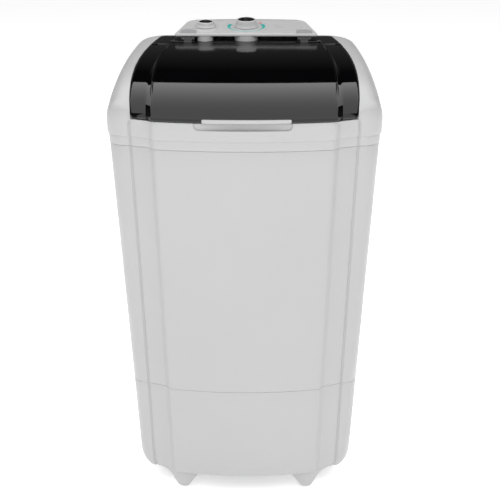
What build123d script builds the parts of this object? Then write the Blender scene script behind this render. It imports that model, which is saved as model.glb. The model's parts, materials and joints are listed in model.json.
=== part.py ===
"""Top-loading agitator washer: a tapered plastic cabinet with a smoked arched lid and a rear console.

Millimetres. X is right, Y is back, Z is up; the origin is on the floor, under the centre of the machine.
"""
from build123d import *
import math
import os

os.makedirs("parts", exist_ok=True)

# ---- Heights --------------------------------------------------------------------------------
Z_PAD = 6.0                 # top of the rubber foot pads
Z_SKIRT_BOTTOM = 44.0       # lower edge of the base skirt
Z_DECK = 254.0              # top of the base skirt's inner deck
Z_SKIRT_TOP = 262.0         # joint of base skirt and cabinet
Z_SEAM = 817.0              # joint of cabinet and top frame
Z_LEDGE = 837.0             # small step round the top frame
Z_WIDEST = 862.0            # widest point of the frame's shoulders
Z_RIM = 875.0               # top frame's front rim, under the lid's front lip
Z_TUB_RIM = 856.0
Z_TUB_FLOOR = 345.0
Z_COVER = 52.0              # underside of the bottom cover
Z_UNDER = 800.0             # cutting volumes of the top start here
Z_OVER = 1010.0             # and end here, above everything
FAR = 340.0                 # cutting volumes reach this far out, past everything
WALL = 5.0
SKIN = 3.0                  # sheet thickness of lid, tub and console
JOINT_GAP = 0.4             # line between two shells
CUT = 5.0                   # a cutter runs this far past the wall it cuts
NECK_TALL = 12.0            # cabinet's neck, inside the top frame
NECK_ROOT = 6.0
LIP_TALL = 10.0             # skirt's lip, inside the cabinet
LIP_SLACK = 0.3
LIP_WIDE = 2.0
DECK_THICK = 4.0

# ---- Plan of the body, at the skirt's bottom and at the cabinet's top -------------------------
SIDE_X = (240.0, 281.0)
FRONT_Y = (252.0, 294.0)    # middle of the bulged front panel
BACK_Y = (252.0, 288.0)
PANEL_X = (158.0, 183.0)    # half width of the front panel
GROOVE_X = (204.0, 230.0)
FRONT_BULGE = 18.0          # the panel's edges lie this far behind its middle
STEP_WIDE = 10.0            # bevel between the panel and the corner band
STEP_DEEP = 15.0
BAND_DROP = 14.0            # the corner band falls back this much on its way to the groove
GROOVE_WIDE = 7.0
GROOVE_DEEP = 3.5
CORNER_FRONT = 46.0
CORNER_REAR = 64.0
CORNER_WAY = (0.74, 0.34)   # the front corner's arc passes here, as shares of its width and depth
SIDE_TAPER = 10.0           # the sides close in by this much towards the back

# ---- Top frame and lid ----------------------------------------------------------------------
FRAME_OUT = 1.0             # frame's skirt stands proud of the cabinet
FRAME_FLARE = 0.4           # and widens by this up to the ledge
LEDGE_OUT = 3.2             # above the ledge the frame stands out further
LEDGE_AHEAD = 1.2
SHOULDER_OUT = 5.0
SHOULDER_AHEAD = 1.6
SHOULDER_CURVE = (0.72, 0.3)    # fullness of the shoulders' curve, upwards and inwards
FRAME_WALL = 3.6
SHOULDER_TOP_X = 200.0      # where the rounded shoulders, seen from the front, become level
SHOULDER_TOP_Z = 970.0
BULGE_CENTRE_Y = 686.0      # the lid's front is round about this vertical line
MID_RADIUS = 980.0          # raised middle of the lid
EDGE_RADIUS = 968.0         # outer bands of the lid, and the frame beside them
MID_TOP_Z = 966.0
EDGE_TOP_Z = 961.0
ARCH_BACK_Y = 225.0
ARCH_FULLNESS = 0.68
EDGE_FULLNESS = 0.74        # the outer bands' arch is squarer
RIB_X = 190.0               # half width of the raised middle
LID_SPLIT_Y = 121.0         # the lid ends here; a fixed panel of the same sheet goes on behind it
LID_BACK_Y = 225.0
LID_X = (232.0, 236.0, 203.0)    # half width of the lid at its front, middle and back
LID_MID_Y = -140.0
OPENING_Y = (-258.0, 205.0) # the opening under the lid
OPENING_CORNER = 36.0
OPENING_BOW = 16.0          # its front edge bows out this far
FRONT_LAND = (222.0, -225.0)    # flat front of the frame under the lid's lip: half width, rear edge
SPLIT_GAP = 0.6
LID_CORNER = 32.0           # rear corners
LID_GAP = 1.5
LEDGE_WIDE = 10.0
FRAME_SKIN = 9.0            # thickness of the frame's top
HANDLE_X = (-85.0, 95.0)
HANDLE_Z = (876.0, 883.5)
HANDLE_OUT = 5.5            # the handle's curved bar stands this far out from the lid
CLIP_X = (-50.0, 60.0)      # the bar's two clips through the lid
CLIP_HALF = 9.0
CLIP_Y = (-296.0, -282.0)
CLIP_SLACK = 0.2
RECESS_X = (-102.0, 97.0)   # finger scoop in the frame's front edge
RECESS_DEEP_Y = -278.0
RECESS_FRONT_Y = -290.0
RECESS_CORNER = 12.0
Z_RECESS = 860.0
HINGE_Y = 125.0
HINGE_Z = 971.5
HINGE_X = 134.0
BARREL_R = 4.0
BARREL_HALF = 9.0
EAR_WIDE = 6.0
BRACKET_Y = (136.0, 160.0)
PIN_R = 2.0
PIN_HALF = 15.5
RUNNING = 0.05              # radial clearance of a turning pin

# ---- Console --------------------------------------------------------------------------------
CONSOLE_Y = (130.0, 262.0)
CONSOLE_HALF = (166.0, 138.0)
CONSOLE_Z = 982.5           # top surface at the front lip
CONSOLE_TILT = 6.0
CONSOLE_DRAFT = 5.0         # the sides lean in by this over the console's height
CONSOLE_CORNER = 8.0
Z_CONSOLE = (962.4, 1012.0)
Z_LIP = 976.5
OVERLAY_THICK = 0.5
PRINT_THICK = 0.4
COVER_HALF = 19.0           # hinge cover patch, measured from the knobs' line
COVER_Y = (-57.5, -24.0)
COVER_ARCH = 14.0
KNOB_Y = 190.0
SELECTOR_X = -95.0
TIMER_R = 27.0
SELECTOR_R = 23.0
RING_R = 42.0
RING_HALF = 3.0
RING_OPEN_Y = 20.0          # the scale is open behind this line
MARKER_X = 33.0
MARKER_Y = 30.0
MARKER_SIDE = 9.0
TIMER_TALL = 17.0
SELECTOR_TALL = 12.0
TIMER_TOP_R = 23.0
SELECTOR_TOP_R = 19.0
KNOB_LIFT = 1.2             # gap under a knob
FLUTES = 20
FLUTE_R = 1.6
KNOB_SHAFT_R = 3.0
KNOB_HOLE_R = 4.2
SHROUD_AHEAD = 3.0          # shrouds reach this far in front of the console's lip
KNOBS = {
    "timer": (0.0, TIMER_R, TIMER_TOP_R, TIMER_TALL),
    "selector": (SELECTOR_X, SELECTOR_R, SELECTOR_TOP_R, SELECTOR_TALL),
}
SHROUDS = ((0.0, TIMER_R), (SELECTOR_X, SELECTOR_R - 4))

# ---- Feet -----------------------------------------------------------------------------------
FOOT = ((101, Z_COVER), (130, Z_PAD), (148, Z_PAD), (173, 38), (194, 46), (194, Z_COVER))
FEET_Y = ((-232.0, -178.0), (194.0, 250.0))
PAD_X = 139.0
PAD_R = 9.0
VENTS = 9
VENT_PITCH = 24.0
VENT_WIDE = 8.0
VENT_Y = (110.0, 190.0)

# ---- Drive ----------------------------------------------------------------------------------
TUB_Y = -32.0               # the agitator's axis
MOTOR_Y = 152.0
SHAFT_R = 8.0
MOTOR_SHAFT_R = 6.0
BUSH_R = 13.0
BUSH_TALL = 24.0
BUSH_Z = (238.0, 300.0)
HOUSING_R = 24.0
FLANGE_R = 62.0
RIBS = 6
AGITATOR_R = 140.0
AGITATOR_LIFT = 8.0         # gap between the tub's floor and the agitator
COLUMN_R = (46.0, 27.0)
COLUMN_TALL = 206.0         # the cap starts here
CAP_R = 20.0
FIN_R = 132.0
FIN_HALF = 3.5
BELT_WELL = (-128.0, 128.0, -170.0, 82.0)   # hole in the deck for the large pulley
Z_BELT = 210.0
BELT_WIDE = 10.0
BELT_THICK = 6.0
DRIVEN_R = 110.0
DRIVER_R = 22.0
MOTOR_R = 62.0
MOTOR_Z = (230.0, 330.0)
MOTOR_SKIN = 2.0
ROTOR_R = 37.0
PLATE_Z = (262.0, 265.0)
MOUNT_R = 10.0
MOUNT_OFF = (80.0, 62.0)
DRAIN_X = 150.0
DRAIN_Y = 60.0
DRAIN_Z = 120.0
DRAIN_R = 12.0
SPIGOT_R = 13.0             # hose end, outside the skirt
SPIGOT_LONG = 38.0
DRAIN_BORE = 10.0
DRAIN_REACH = 300.0
SCREW_R = 2.0
SCREW_HEAD_R = 4.0
SCREW_LONG = 10.0
CAPACITOR_X = -150.0
CAPACITOR_Y = (105.0, 190.0)
CAPACITOR_R = 20.0
STRAP_Y = (138.0, 158.0)
INLET_X = -170.0
INLET_Z = 330.0
INLET_R = 8.0
INLET_FLANGE_R = 12.0
CORD_BORE_R = 4.0


def save(name, shape):
    """Write one sub-part."""
    export_step(shape, f"parts/{name}.step")


def mix(pair, t):
    return pair[0] + (pair[1] - pair[0]) * t


def block(x0, x1, y0, y1, z0, z1):
    """Box between two corners."""
    middle = ((x0 + x1) / 2, (y0 + y1) / 2, (z0 + z1) / 2)
    return Pos(*middle) * Box(x1 - x0, y1 - y0, z1 - z0)


def post(x, y, z0, z1, r):
    """Upright cylinder."""
    return Pos(x, y, (z0 + z1) / 2) * Cylinder(r, z1 - z0)


def tube(x, y, z0, z1, r_out, r_in):
    return post(x, y, z0, z1, r_out) - post(x, y, z0 - 1, z1 + 1, r_in)


def along_y(x, z, y0, y1, r):
    return Pos(x, (y0 + y1) / 2, z) * Rot(90, 0, 0) * Cylinder(r, y1 - y0)


def along_x(y, z, x0, x1, r):
    return Pos((x0 + x1) / 2, y, z) * Rot(0, 90, 0) * Cylinder(r, x1 - x0)


def both_sides(shape):
    """The shape and its mirror image, as separate solids."""
    return Compound(children=[shape, mirror(shape, about=Plane.YZ)])


# ---- Plan outlines --------------------------------------------------------------------------
def body_outline(z, out=0.0, along=None, groove=True, at=None):
    """Plan of the body at height z, grown sideways by out and fore and aft by along."""
    t = (z - Z_SKIRT_BOTTOM) / (Z_SEAM - Z_SKIRT_BOTTOM)
    along = out if along is None else along
    side = mix(SIDE_X, t) + out
    front = mix(FRONT_Y, t) + along
    back = mix(BACK_Y, t) + along
    panel = mix(PANEL_X, t) + out / 3
    edge_y = FRONT_BULGE - front
    step_x, step_y = panel + STEP_WIDE, edge_y + STEP_DEEP
    groove_x, groove_y = mix(GROOVE_X, t) + out / 3, step_y + BAND_DROP
    after_x, after_y = groove_x + GROOVE_WIDE, groove_y + GROOVE_WIDE / 3
    side_y = after_y + CORNER_FRONT
    rear_x = side - SIDE_TAPER
    turn = CORNER_REAR * (1 - math.sqrt(0.5))
    with BuildSketch(Plane.XY.offset(z if at is None else at)) as sketch:
        with BuildLine():
            for s in (1, -1):
                ThreePointArc((0, -front), (s * panel / 2, FRONT_BULGE / 4 - front), (s * panel, edge_y))
                Line((s * panel, edge_y), (s * step_x, step_y))
                if groove:
                    bottom = (s * (groove_x + GROOVE_WIDE / 2), groove_y + GROOVE_DEEP + 1)
                    Polyline((s * step_x, step_y), (s * groove_x, groove_y), bottom, (s * after_x, after_y))
                else:
                    Line((s * step_x, step_y), (s * after_x, after_y))
                shoulder = (s * mix((after_x, side), CORNER_WAY[0]), after_y + CORNER_FRONT * CORNER_WAY[1])
                ThreePointArc((s * after_x, after_y), shoulder, (s * side, side_y))
                Line((s * side, side_y), (s * rear_x, back - CORNER_REAR))
                corner = (s * (rear_x - turn), back - turn)
                ThreePointArc((s * rear_x, back - CORNER_REAR), corner, (s * (rear_x - CORNER_REAR), back))
                Line((s * (rear_x - CORNER_REAR), back), (0, back))
        make_face()
    return sketch.sketch


def body_solid(z_low, z_high, out=0.0, groove=True):
    """Tapered solid of the body's outline."""
    faces = [body_outline(z, out, groove=groove) for z in (z_low, z_high)]
    return loft(faces, ruled=True)


def lid_outline(inset, z, front_y=OPENING_Y[0], back_y=OPENING_Y[1], radius=OPENING_CORNER):
    """Plan of the lid's opening, drawn in by inset."""
    front_x, mid_x, rear_x = (x - inset for x in LID_X)
    y_front, y_back = front_y + inset, back_y - inset
    with BuildSketch(Plane.XY.offset(z)) as sketch:
        with BuildLine():
            ThreePointArc((-front_x, y_front), (0, y_front - OPENING_BOW), (front_x, y_front))
            ThreePointArc((front_x, y_front), (mid_x, LID_MID_Y), (rear_x, y_back))
            Line((rear_x, y_back), (-rear_x, y_back))
            ThreePointArc((-rear_x, y_back), (-mid_x, LID_MID_Y), (-front_x, y_front))
        make_face()
        fillet(sketch.vertices(), radius)
    return sketch.sketch


def lid_prism(inset, z_low=Z_UNDER, z_high=Z_OVER, **where):
    """Upright prism of the lid's plan."""
    return extrude(lid_outline(inset, z_low, **where), z_high - z_low)


# ---- Arched volumes -------------------------------------------------------------------------
def dome(radius, top, inset=0.0, z_low=Z_UNDER):
    """Everything under the lid's arch: a side profile turned about the bulge's centre line."""
    front = BULGE_CENTRE_Y - radius + inset
    top = top - inset
    rise = top - Z_RIM
    run = ARCH_BACK_Y - front
    full = ARCH_FULLNESS if radius == MID_RADIUS else EDGE_FULLNESS
    with BuildSketch(Plane.YZ) as sketch:
        with BuildLine():
            Line((front, z_low), (front, Z_RIM))
            Bezier(
                (front, Z_RIM),
                (front, Z_RIM + full * rise),
                (ARCH_BACK_Y - full * run, top),
                (ARCH_BACK_Y, top),
            )
            Polyline((ARCH_BACK_Y, top), (FAR, top), (FAR, z_low), (front, z_low))
        make_face()
    axis = Axis((0, BULGE_CENTRE_Y, 0), (0, 0, 1))
    spread = 50.0               # degrees each side, wider than the machine
    start = sketch.sketch.rotate(axis, -spread)
    return revolve(start, axis, 2 * spread)


def shoulders(inset=0.0):
    """Front-view profile that rounds the frame's upper outer edges."""
    side = SIDE_X[1] + SHOULDER_OUT + 0.5 - inset
    low, top = Z_WIDEST + 8, SHOULDER_TOP_Z - inset
    reach, rise = side - SHOULDER_TOP_X, top - low
    with BuildSketch(Plane.XZ.offset(-FAR)) as sketch:
        with BuildLine():
            for s in (1, -1):
                Line((0, Z_UNDER), (s * side, Z_UNDER))
                Line((s * side, Z_UNDER), (s * side, low))
                Bezier(
                    (s * side, low),
                    (s * side, low + SHOULDER_CURVE[0] * rise),
                    (s * (SHOULDER_TOP_X + SHOULDER_CURVE[1] * reach), top),
                    (s * SHOULDER_TOP_X, top),
                )
                Line((s * SHOULDER_TOP_X, top), (0, top))
        make_face()
    return extrude(sketch.sketch, 2 * FAR)


# ---- Shells ---------------------------------------------------------------------------------
def cabinet():
    z0, z1 = Z_SKIRT_TOP + JOINT_GAP, Z_SEAM
    shell = body_solid(z0, z1) - body_solid(z0 - CUT, z1 + CUT, -WALL, groove=False)
    neck = body_solid(z1 - NECK_ROOT, z1 + NECK_TALL, JOINT_GAP - WALL, groove=False)
    neck -= body_solid(z1 - 2 * NECK_ROOT, z1 + NECK_TALL + NECK_ROOT, -WALL - LIP_WIDE, groove=False)
    return shell + neck - power_inlet() - along_y(INLET_X, INLET_Z, 200, 300, CORD_BORE_R)


def foot(y0, y1):
    """Moulded foot: a steep inner face, a narrow sole and a long outer slope."""
    with BuildSketch(Plane.XZ.offset(-y1)) as sketch:
        with BuildLine():
            Polyline(*FOOT, FOOT[0])
        make_face()
    inside = extrude(body_outline(Z_SKIRT_BOTTOM, -0.6, groove=False, at=0), Z_COVER)
    return extrude(sketch.sketch, y1 - y0) & inside


def base_skirt():
    """Tapered skirt with a lip into the cabinet, an inner deck that carries the drive, and four feet."""
    z0, z1 = Z_SKIRT_BOTTOM, Z_SKIRT_TOP
    deck_cut = (Z_DECK - 2 * DECK_THICK, Z_DECK + DECK_THICK)
    shell = body_solid(z0, z1) - body_solid(z0 - CUT, z1 + CUT, -WALL, groove=False)
    lip = body_solid(Z_DECK - DECK_THICK, z1 + LIP_TALL, -WALL - LIP_SLACK, groove=False)
    lip -= body_solid(Z_DECK - DECK_THICK - CUT, z1 + 16, -WALL - LIP_SLACK - LIP_WIDE, groove=False)
    deck = body_solid(Z_DECK - DECK_THICK, Z_DECK, 0.5 - WALL, groove=False)
    deck -= block(*BELT_WELL, *deck_cut)
    deck -= post(0, MOTOR_Y, *deck_cut, MOTOR_R + 4)
    deck -= post(DRAIN_X, DRAIN_Y, *deck_cut, DRAIN_R + 1)
    shape = shell + lip + deck
    for y0, y1 in FEET_Y:
        shape += foot(y0, y1) + mirror(foot(y0, y1), about=Plane.YZ)
    shape -= along_y(DRAIN_X, DRAIN_Z, 200, 300, SPIGOT_R + 0.5)
    return shape - base_screws_solid()


def foot_pads():
    pads = [post(s * PAD_X, (y0 + y1) / 2, 0, Z_PAD, PAD_R) for s in (-1, 1) for y0, y1 in FEET_Y]
    return Compound(children=pads)


def bottom_cover():
    """Slotted plate under the drive."""
    plate = extrude(body_outline(Z_SKIRT_BOTTOM, -WALL - 1, groove=False, at=Z_COVER), SKIN)
    for i in range(VENTS):
        x = (i - (VENTS - 1) / 2) * VENT_PITCH
        plate -= block(x - VENT_WIDE / 2, x + VENT_WIDE / 2, *VENT_Y, Z_COVER - 2, Z_COVER + 8)
    return plate


def frame_outer():
    """The frame's outside: nearly straight up to the ledge, then a step and the widening shoulders."""
    low = [body_outline(Z_SEAM, FRAME_OUT, at=Z_SEAM + JOINT_GAP)]
    low.append(body_outline(Z_SEAM, FRAME_OUT + FRAME_FLARE, FRAME_OUT, at=Z_LEDGE))
    high = [body_outline(Z_SEAM, FRAME_OUT + LEDGE_OUT, FRAME_OUT + LEDGE_AHEAD, at=Z_LEDGE)]
    for z in (Z_WIDEST, Z_OVER):
        high.append(body_outline(Z_SEAM, SHOULDER_OUT, FRAME_OUT + SHOULDER_AHEAD, at=z))
    return loft(low, ruled=True) + loft(high, ruled=True)


def under_arch(inset, z_front):
    """Everything under the outer bands' arch, and lower than z_front in the front half."""
    return dome(EDGE_RADIUS, EDGE_TOP_Z, inset) + block(-FAR, FAR, -FAR, 0, Z_UNDER, z_front)


def top_frame():
    """Hollow shouldered ring with a rebate for the lid, a collar over the tub and a finger scoop."""
    solid = frame_outer() & under_arch(0, Z_RIM) & shoulders()
    hollow = extrude(body_outline(Z_SEAM, -FRAME_WALL, groove=False, at=Z_UNDER), Z_OVER - Z_UNDER)
    hollow = hollow & under_arch(FRAME_SKIN, Z_RIM - SKIN) & shoulders(FRAME_SKIN)
    hollow -= block(-FAR, FAR, -FAR, FRONT_LAND[1], Z_RIM - SKIN, Z_OVER)
    frame = solid - hollow
    frame += lid_prism(LEDGE_WIDE - SKIN, Z_TUB_RIM, 990) & dome(EDGE_RADIUS, EDGE_TOP_Z, 4)
    scoop_x = (RECESS_X[0] - WALL, RECESS_X[1] + WALL)
    frame += block(*scoop_x, RECESS_FRONT_Y, RECESS_DEEP_Y + WALL, Z_RECESS - WALL, Z_RIM)
    frame -= lid_prism(LEDGE_WIDE)
    rebate = lid_prism(-LID_GAP, front_y=-330, back_y=LID_BACK_Y, radius=LID_CORNER)
    rebate -= dome(EDGE_RADIUS, EDGE_TOP_Z, SKIN + 0.4)
    frame -= rebate - block(-FAR, FAR, -FAR, 0, Z_UNDER - 10, Z_RIM)
    frame -= block(-FRONT_LAND[0], FRONT_LAND[0], -FAR, FRONT_LAND[1], Z_RIM, Z_OVER)
    recess = block(*RECESS_X, -FAR, RECESS_DEEP_Y, Z_RECESS, Z_RIM + 1)
    recess = fillet(recess.edges().filter_by(Axis.Y).group_by(Axis.Z)[0], RECESS_CORNER)
    for x, r in SHROUDS:
        frame -= shroud_solid(x, r, 0.8)
    return frame - recess - frame_screws_solid()


def lid_sheet(y0, y1):
    """The smoked sheet between two depths: raised middle and lower side bands."""
    z0, z1 = Z_UNDER - 20, Z_OVER
    middle = block(-RIB_X, RIB_X, -FAR, FAR, z0, z1)
    outer = dome(EDGE_RADIUS, EDGE_TOP_Z) + (dome(MID_RADIUS, MID_TOP_Z) & middle)
    inner_middle = block(SKIN - RIB_X, RIB_X - SKIN, -FAR, FAR, z0, z1)
    inner = dome(MID_RADIUS, MID_TOP_Z, SKIN, Z_UNDER - 10) & inner_middle
    inner += dome(EDGE_RADIUS, EDGE_TOP_Z, SKIN, Z_UNDER - 10)
    plan = lid_prism(0, front_y=-330, back_y=LID_BACK_Y, radius=LID_CORNER)
    return (outer - inner) & plan & block(-FAR, FAR, y0, y1, Z_RIM + 1, z1)


def hinge_barrel(x0, x1, y_root, z_root):
    """Barrel round the lid's hinge line, with a web to the sheet it belongs to."""
    barrel = along_x(HINGE_Y, HINGE_Z, x0, x1, BARREL_R)
    web = block(x0, x1, min(HINGE_Y, y_root), max(HINGE_Y, y_root), z_root, HINGE_Z - 1)
    return barrel + web


def handle_clips(grow=0.0):
    """Two tabs that pass through the lid's lip and hold the handle on."""
    z0, z1 = HANDLE_Z[0] + 2 - grow, HANDLE_Z[1] - 1.5 + grow
    half = CLIP_HALF + grow
    tabs = [block(x - half, x + half, *CLIP_Y, z0, z1) for x in CLIP_X]
    return tabs[0] + tabs[1]


def lid():
    """Lifting sheet, with two barrels on the hinge line and slots for the handle's clips."""
    shape = lid_sheet(-FAR, LID_SPLIT_Y - SPLIT_GAP) - handle_clips(CLIP_SLACK)
    for s in (-1, 1):
        x0, x1 = s * HINGE_X - BARREL_HALF, s * HINGE_X + BARREL_HALF
        shape += hinge_barrel(x0, x1, LID_SPLIT_Y - 6, MID_TOP_Z - 2)
        shape -= along_x(HINGE_Y, HINGE_Z, x0 - 1, x1 + 1, PIN_R + RUNNING)
    return shape


def lid_rear_panel():
    """Fixed sheet behind the hinge line, with room for the barrels and the two knob shrouds."""
    shape = lid_sheet(LID_SPLIT_Y + SPLIT_GAP, FAR)
    half = BARREL_HALF + 1
    for s in (-1, 1):
        shape -= block(s * HINGE_X - half, s * HINGE_X + half, 100, HINGE_Y + 6, 940, Z_OVER)
    for x, r in SHROUDS:
        shape -= shroud_solid(x, r, 0.6)
    return shape


def hinge_brackets():
    """Ears each side of the lid's barrels, under the console's front corners."""
    z0, z1 = MID_TOP_Z + 0.2, HINGE_Z + 1
    brackets = []
    for s in (-1, 1):
        left, right = s * HINGE_X - PIN_HALF, s * HINGE_X + PIN_HALF
        shape = block(left, right, *BRACKET_Y, z0, z1)
        for x0 in (left, right - EAR_WIDE):
            shape += block(x0, x0 + EAR_WIDE, HINGE_Y, BRACKET_Y[0] + 10, z0, z1)
            shape += along_x(HINGE_Y, HINGE_Z, x0, x0 + EAR_WIDE, BARREL_R)
        brackets.append(shape - along_x(HINGE_Y, HINGE_Z, left - 5, right + 5, PIN_R))
    return Compound(children=brackets)


def hinge_pins():
    return both_sides(along_x(HINGE_Y, HINGE_Z, HINGE_X - PIN_HALF, HINGE_X + PIN_HALF, PIN_R))


def lid_handle():
    """Curved bar along the lid's lip, over the finger scoop."""
    near, far = MID_RADIUS + 0.3, MID_RADIUS + HANDLE_OUT
    bar = tube(0, BULGE_CENTRE_Y, *HANDLE_Z, far, near) & block(*HANDLE_X, -310, -270, *HANDLE_Z)
    bar = chamfer(bar.edges().filter_by(Axis.Z), 1.5)
    return bar + (handle_clips() & post(0, BULGE_CENTRE_Y, 850, 900, near + 1))


# ---- Console --------------------------------------------------------------------------------
CONSOLE_PLANE = Plane(
    origin=(0, KNOB_Y, CONSOLE_Z + (KNOB_Y - CONSOLE_Y[0]) * math.tan(math.radians(CONSOLE_TILT))),
    x_dir=(1, 0, 0),
    z_dir=(0, -math.sin(math.radians(CONSOLE_TILT)), math.cos(math.radians(CONSOLE_TILT))),
)


def console_outline(inset, z):
    (y0, y1), (front, rear) = CONSOLE_Y, CONSOLE_HALF
    with BuildSketch(Plane.XY.offset(z)) as sketch:
        with BuildLine():
            Polyline(
                (inset - front, y0 + inset), (front - inset, y0 + inset),
                (rear - inset, y1 - inset), (inset - rear, y1 - inset), (inset - front, y0 + inset),
            )
        make_face()
        fillet(sketch.vertices(), CONSOLE_CORNER)
    return sketch.sketch


def under_console(drop):
    """Everything lower than the console's tilted top by at least drop."""
    return CONSOLE_PLANE * Pos(0, 0, -100 - drop) * Box(500, 400, 200)


def shroud_solid(x, r, grow=0.0):
    """Upright housing under a knob, reaching forward just past the console's lip."""
    z0, z1 = 935, Z_OVER
    y_front = CONSOLE_Y[0] - SHROUD_AHEAD + r
    body = post(x, KNOB_Y, z0, z1, r + grow) + post(x, y_front, z0, z1, r + grow)
    return body + block(x - r - grow, x + r + grow, y_front, KNOB_Y, z0, z1)


def control_panel():
    """Hollow console shell, open underneath, with holes for the knobs' shafts and seats for the patches."""
    z0, z1 = Z_CONSOLE
    inset = CONSOLE_DRAFT + SKIN
    outer = loft([console_outline(0, z0), console_outline(CONSOLE_DRAFT, z1)], ruled=True)
    inner = loft([console_outline(SKIN, z0 - 2.4), console_outline(inset, z1 + 2)], ruled=True)
    shape = (outer & under_console(0)) - (inner & under_console(SKIN))
    shape -= block(-300, 300, 100, LID_BACK_Y + 3, 900, Z_LIP)
    for x in (0, SELECTOR_X):
        shape -= CONSOLE_PLANE * Pos(x, 0, 0) * Cylinder(KNOB_HOLE_R, 20)
    for s in (-1, 1):
        shape -= CONSOLE_PLANE * Pos(0, 0, -1) * extrude(hinge_cover_outline(s), 4)
    return shape - panel_screws_solid()


def hinge_cover_outline(s):
    """Door-shaped patch at the console's front corner."""
    y0, y1 = COVER_Y
    left, right, spring = s * HINGE_X - COVER_HALF, s * HINGE_X + COVER_HALF, y1 - COVER_ARCH
    with BuildSketch() as sketch:
        with BuildLine():
            Polyline((left, spring), (left, y0), (right, y0), (right, spring))
            ThreePointArc((right, spring), (s * HINGE_X, y1), (left, spring))
        make_face()
    return sketch.sketch


def hinge_covers():
    patches = [CONSOLE_PLANE * Pos(0, 0, -1) * extrude(hinge_cover_outline(s), 1.6) for s in (-1, 1)]
    return Compound(children=patches)


def panel_overlay():
    """Thin printed skin between the hinge covers, with holes for the knobs' shafts."""
    with BuildSketch() as sketch:
        with BuildLine():
            Polyline((-112, -50), (112, -50), (112, -18), (146, -18), (130, 62), (-130, 62),
                     (-146, -18), (-112, -18), (-112, -50))
        make_face()
        fillet(sketch.vertices(), 3)
        with Locations((0, 0), (SELECTOR_X, 0)):
            Circle(5, mode=Mode.SUBTRACT)
    return CONSOLE_PLANE * extrude(sketch.sketch, OVERLAY_THICK)


def dial_ring():
    """Coloured scale round the timer knob, open at the back."""
    with BuildSketch() as sketch:
        Circle(RING_R + RING_HALF)
        Circle(RING_R - RING_HALF, mode=Mode.SUBTRACT)
        with Locations((0, RING_OPEN_Y + RING_R)):
            Rectangle(3 * RING_R, 2 * RING_R, mode=Mode.SUBTRACT)
    return CONSOLE_PLANE * Pos(0, 0, OVERLAY_THICK) * extrude(sketch.sketch, PRINT_THICK)


def dial_marker():
    """Small coloured pointer beside the scale's right end."""
    with BuildSketch() as sketch:
        with Locations((MARKER_X, MARKER_Y)):
            Triangle(a=MARKER_SIDE, b=MARKER_SIDE, c=MARKER_SIDE)
    return CONSOLE_PLANE * Pos(0, 0, OVERLAY_THICK) * extrude(sketch.sketch, PRINT_THICK)


def knob(x, r_base, r_top, height):
    """Tapered fluted knob with a shallow well in its top and a blind bore for its shaft."""
    middle = KNOB_LIFT + height / 2
    body = Pos(x, 0, middle) * Cone(r_base, r_top, height)
    for i in range(FLUTES):
        around = 2 * math.pi * i / FLUTES
        dx, dy = (r_base + 0.4) * math.cos(around), (r_base + 0.4) * math.sin(around)
        body -= Pos(x + dx, dy, middle) * Cylinder(FLUTE_R, height + 2)
    body -= Pos(x, 0, KNOB_LIFT + height) * Cylinder(r_top - 3.5, 4)
    return CONSOLE_PLANE * (body - Pos(x, 0, 0) * Cylinder(KNOB_SHAFT_R, 2 * height - 6))


def knob_cap(x, r_top, height):
    """Bright disc let into the knob's top, with a finger bar across it."""
    disc = Pos(x, 0, height) * Cylinder(r_top - 3.7, 1.6)
    bar = Pos(x, 0, KNOB_LIFT + height + 1) * Box(4, 2 * r_top - 10, 3)
    return CONSOLE_PLANE * (disc + bar)


def knob_shaft(x, height):
    return CONSOLE_PLANE * Pos(x, 0, (height - 12) / 2) * Cylinder(KNOB_SHAFT_R, height + 2)


def knob_shrouds():
    """Cups that close the openings under the two knobs."""
    shapes = []
    for x, r in SHROUDS:
        cup = shroud_solid(x, r) - Pos(0, 0, 2) * shroud_solid(x, r, -2)
        cup -= block(-200, 200, 100, CONSOLE_Y[0] + SKIN + 2, Z_LIP, 1010)
        shapes.append(cup & under_console(SKIN))
    return Compound(children=shapes)


def timer_body():
    body = CONSOLE_PLANE * Pos(0, 0, -SKIN - 0.2 - 13) * Cylinder(21, 26)
    return body - CONSOLE_PLANE * Pos(0, 0, -10) * Cylinder(KNOB_SHAFT_R + RUNNING, 40)


def selector_switch():
    body = CONSOLE_PLANE * Pos(SELECTOR_X, 0, -SKIN - 0.2 - 10) * Box(18, 18, 20)
    return body - CONSOLE_PLANE * Pos(SELECTOR_X, 0, -10) * Cylinder(KNOB_SHAFT_R + RUNNING, 40)


# ---- Tub and drive --------------------------------------------------------------------------
def tub():
    outer = loft([lid_outline(50, Z_TUB_FLOOR - SKIN), lid_outline(LEDGE_WIDE - 3, Z_TUB_RIM)], ruled=True)
    inner = loft([lid_outline(53, Z_TUB_FLOOR), lid_outline(LEDGE_WIDE, Z_TUB_RIM + 0.01)], ruled=True)
    flange = lid_prism(4, Z_TUB_RIM - 3, Z_TUB_RIM, radius=56) - lid_prism(LEDGE_WIDE - 1, 840, 870)
    shape = outer - inner + flange
    shape -= post(0, TUB_Y, 330, 350, BUSH_R + 0.2)
    shape -= post(DRAIN_X, DRAIN_Y, 330, 350, DRAIN_BORE)
    return shape


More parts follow.
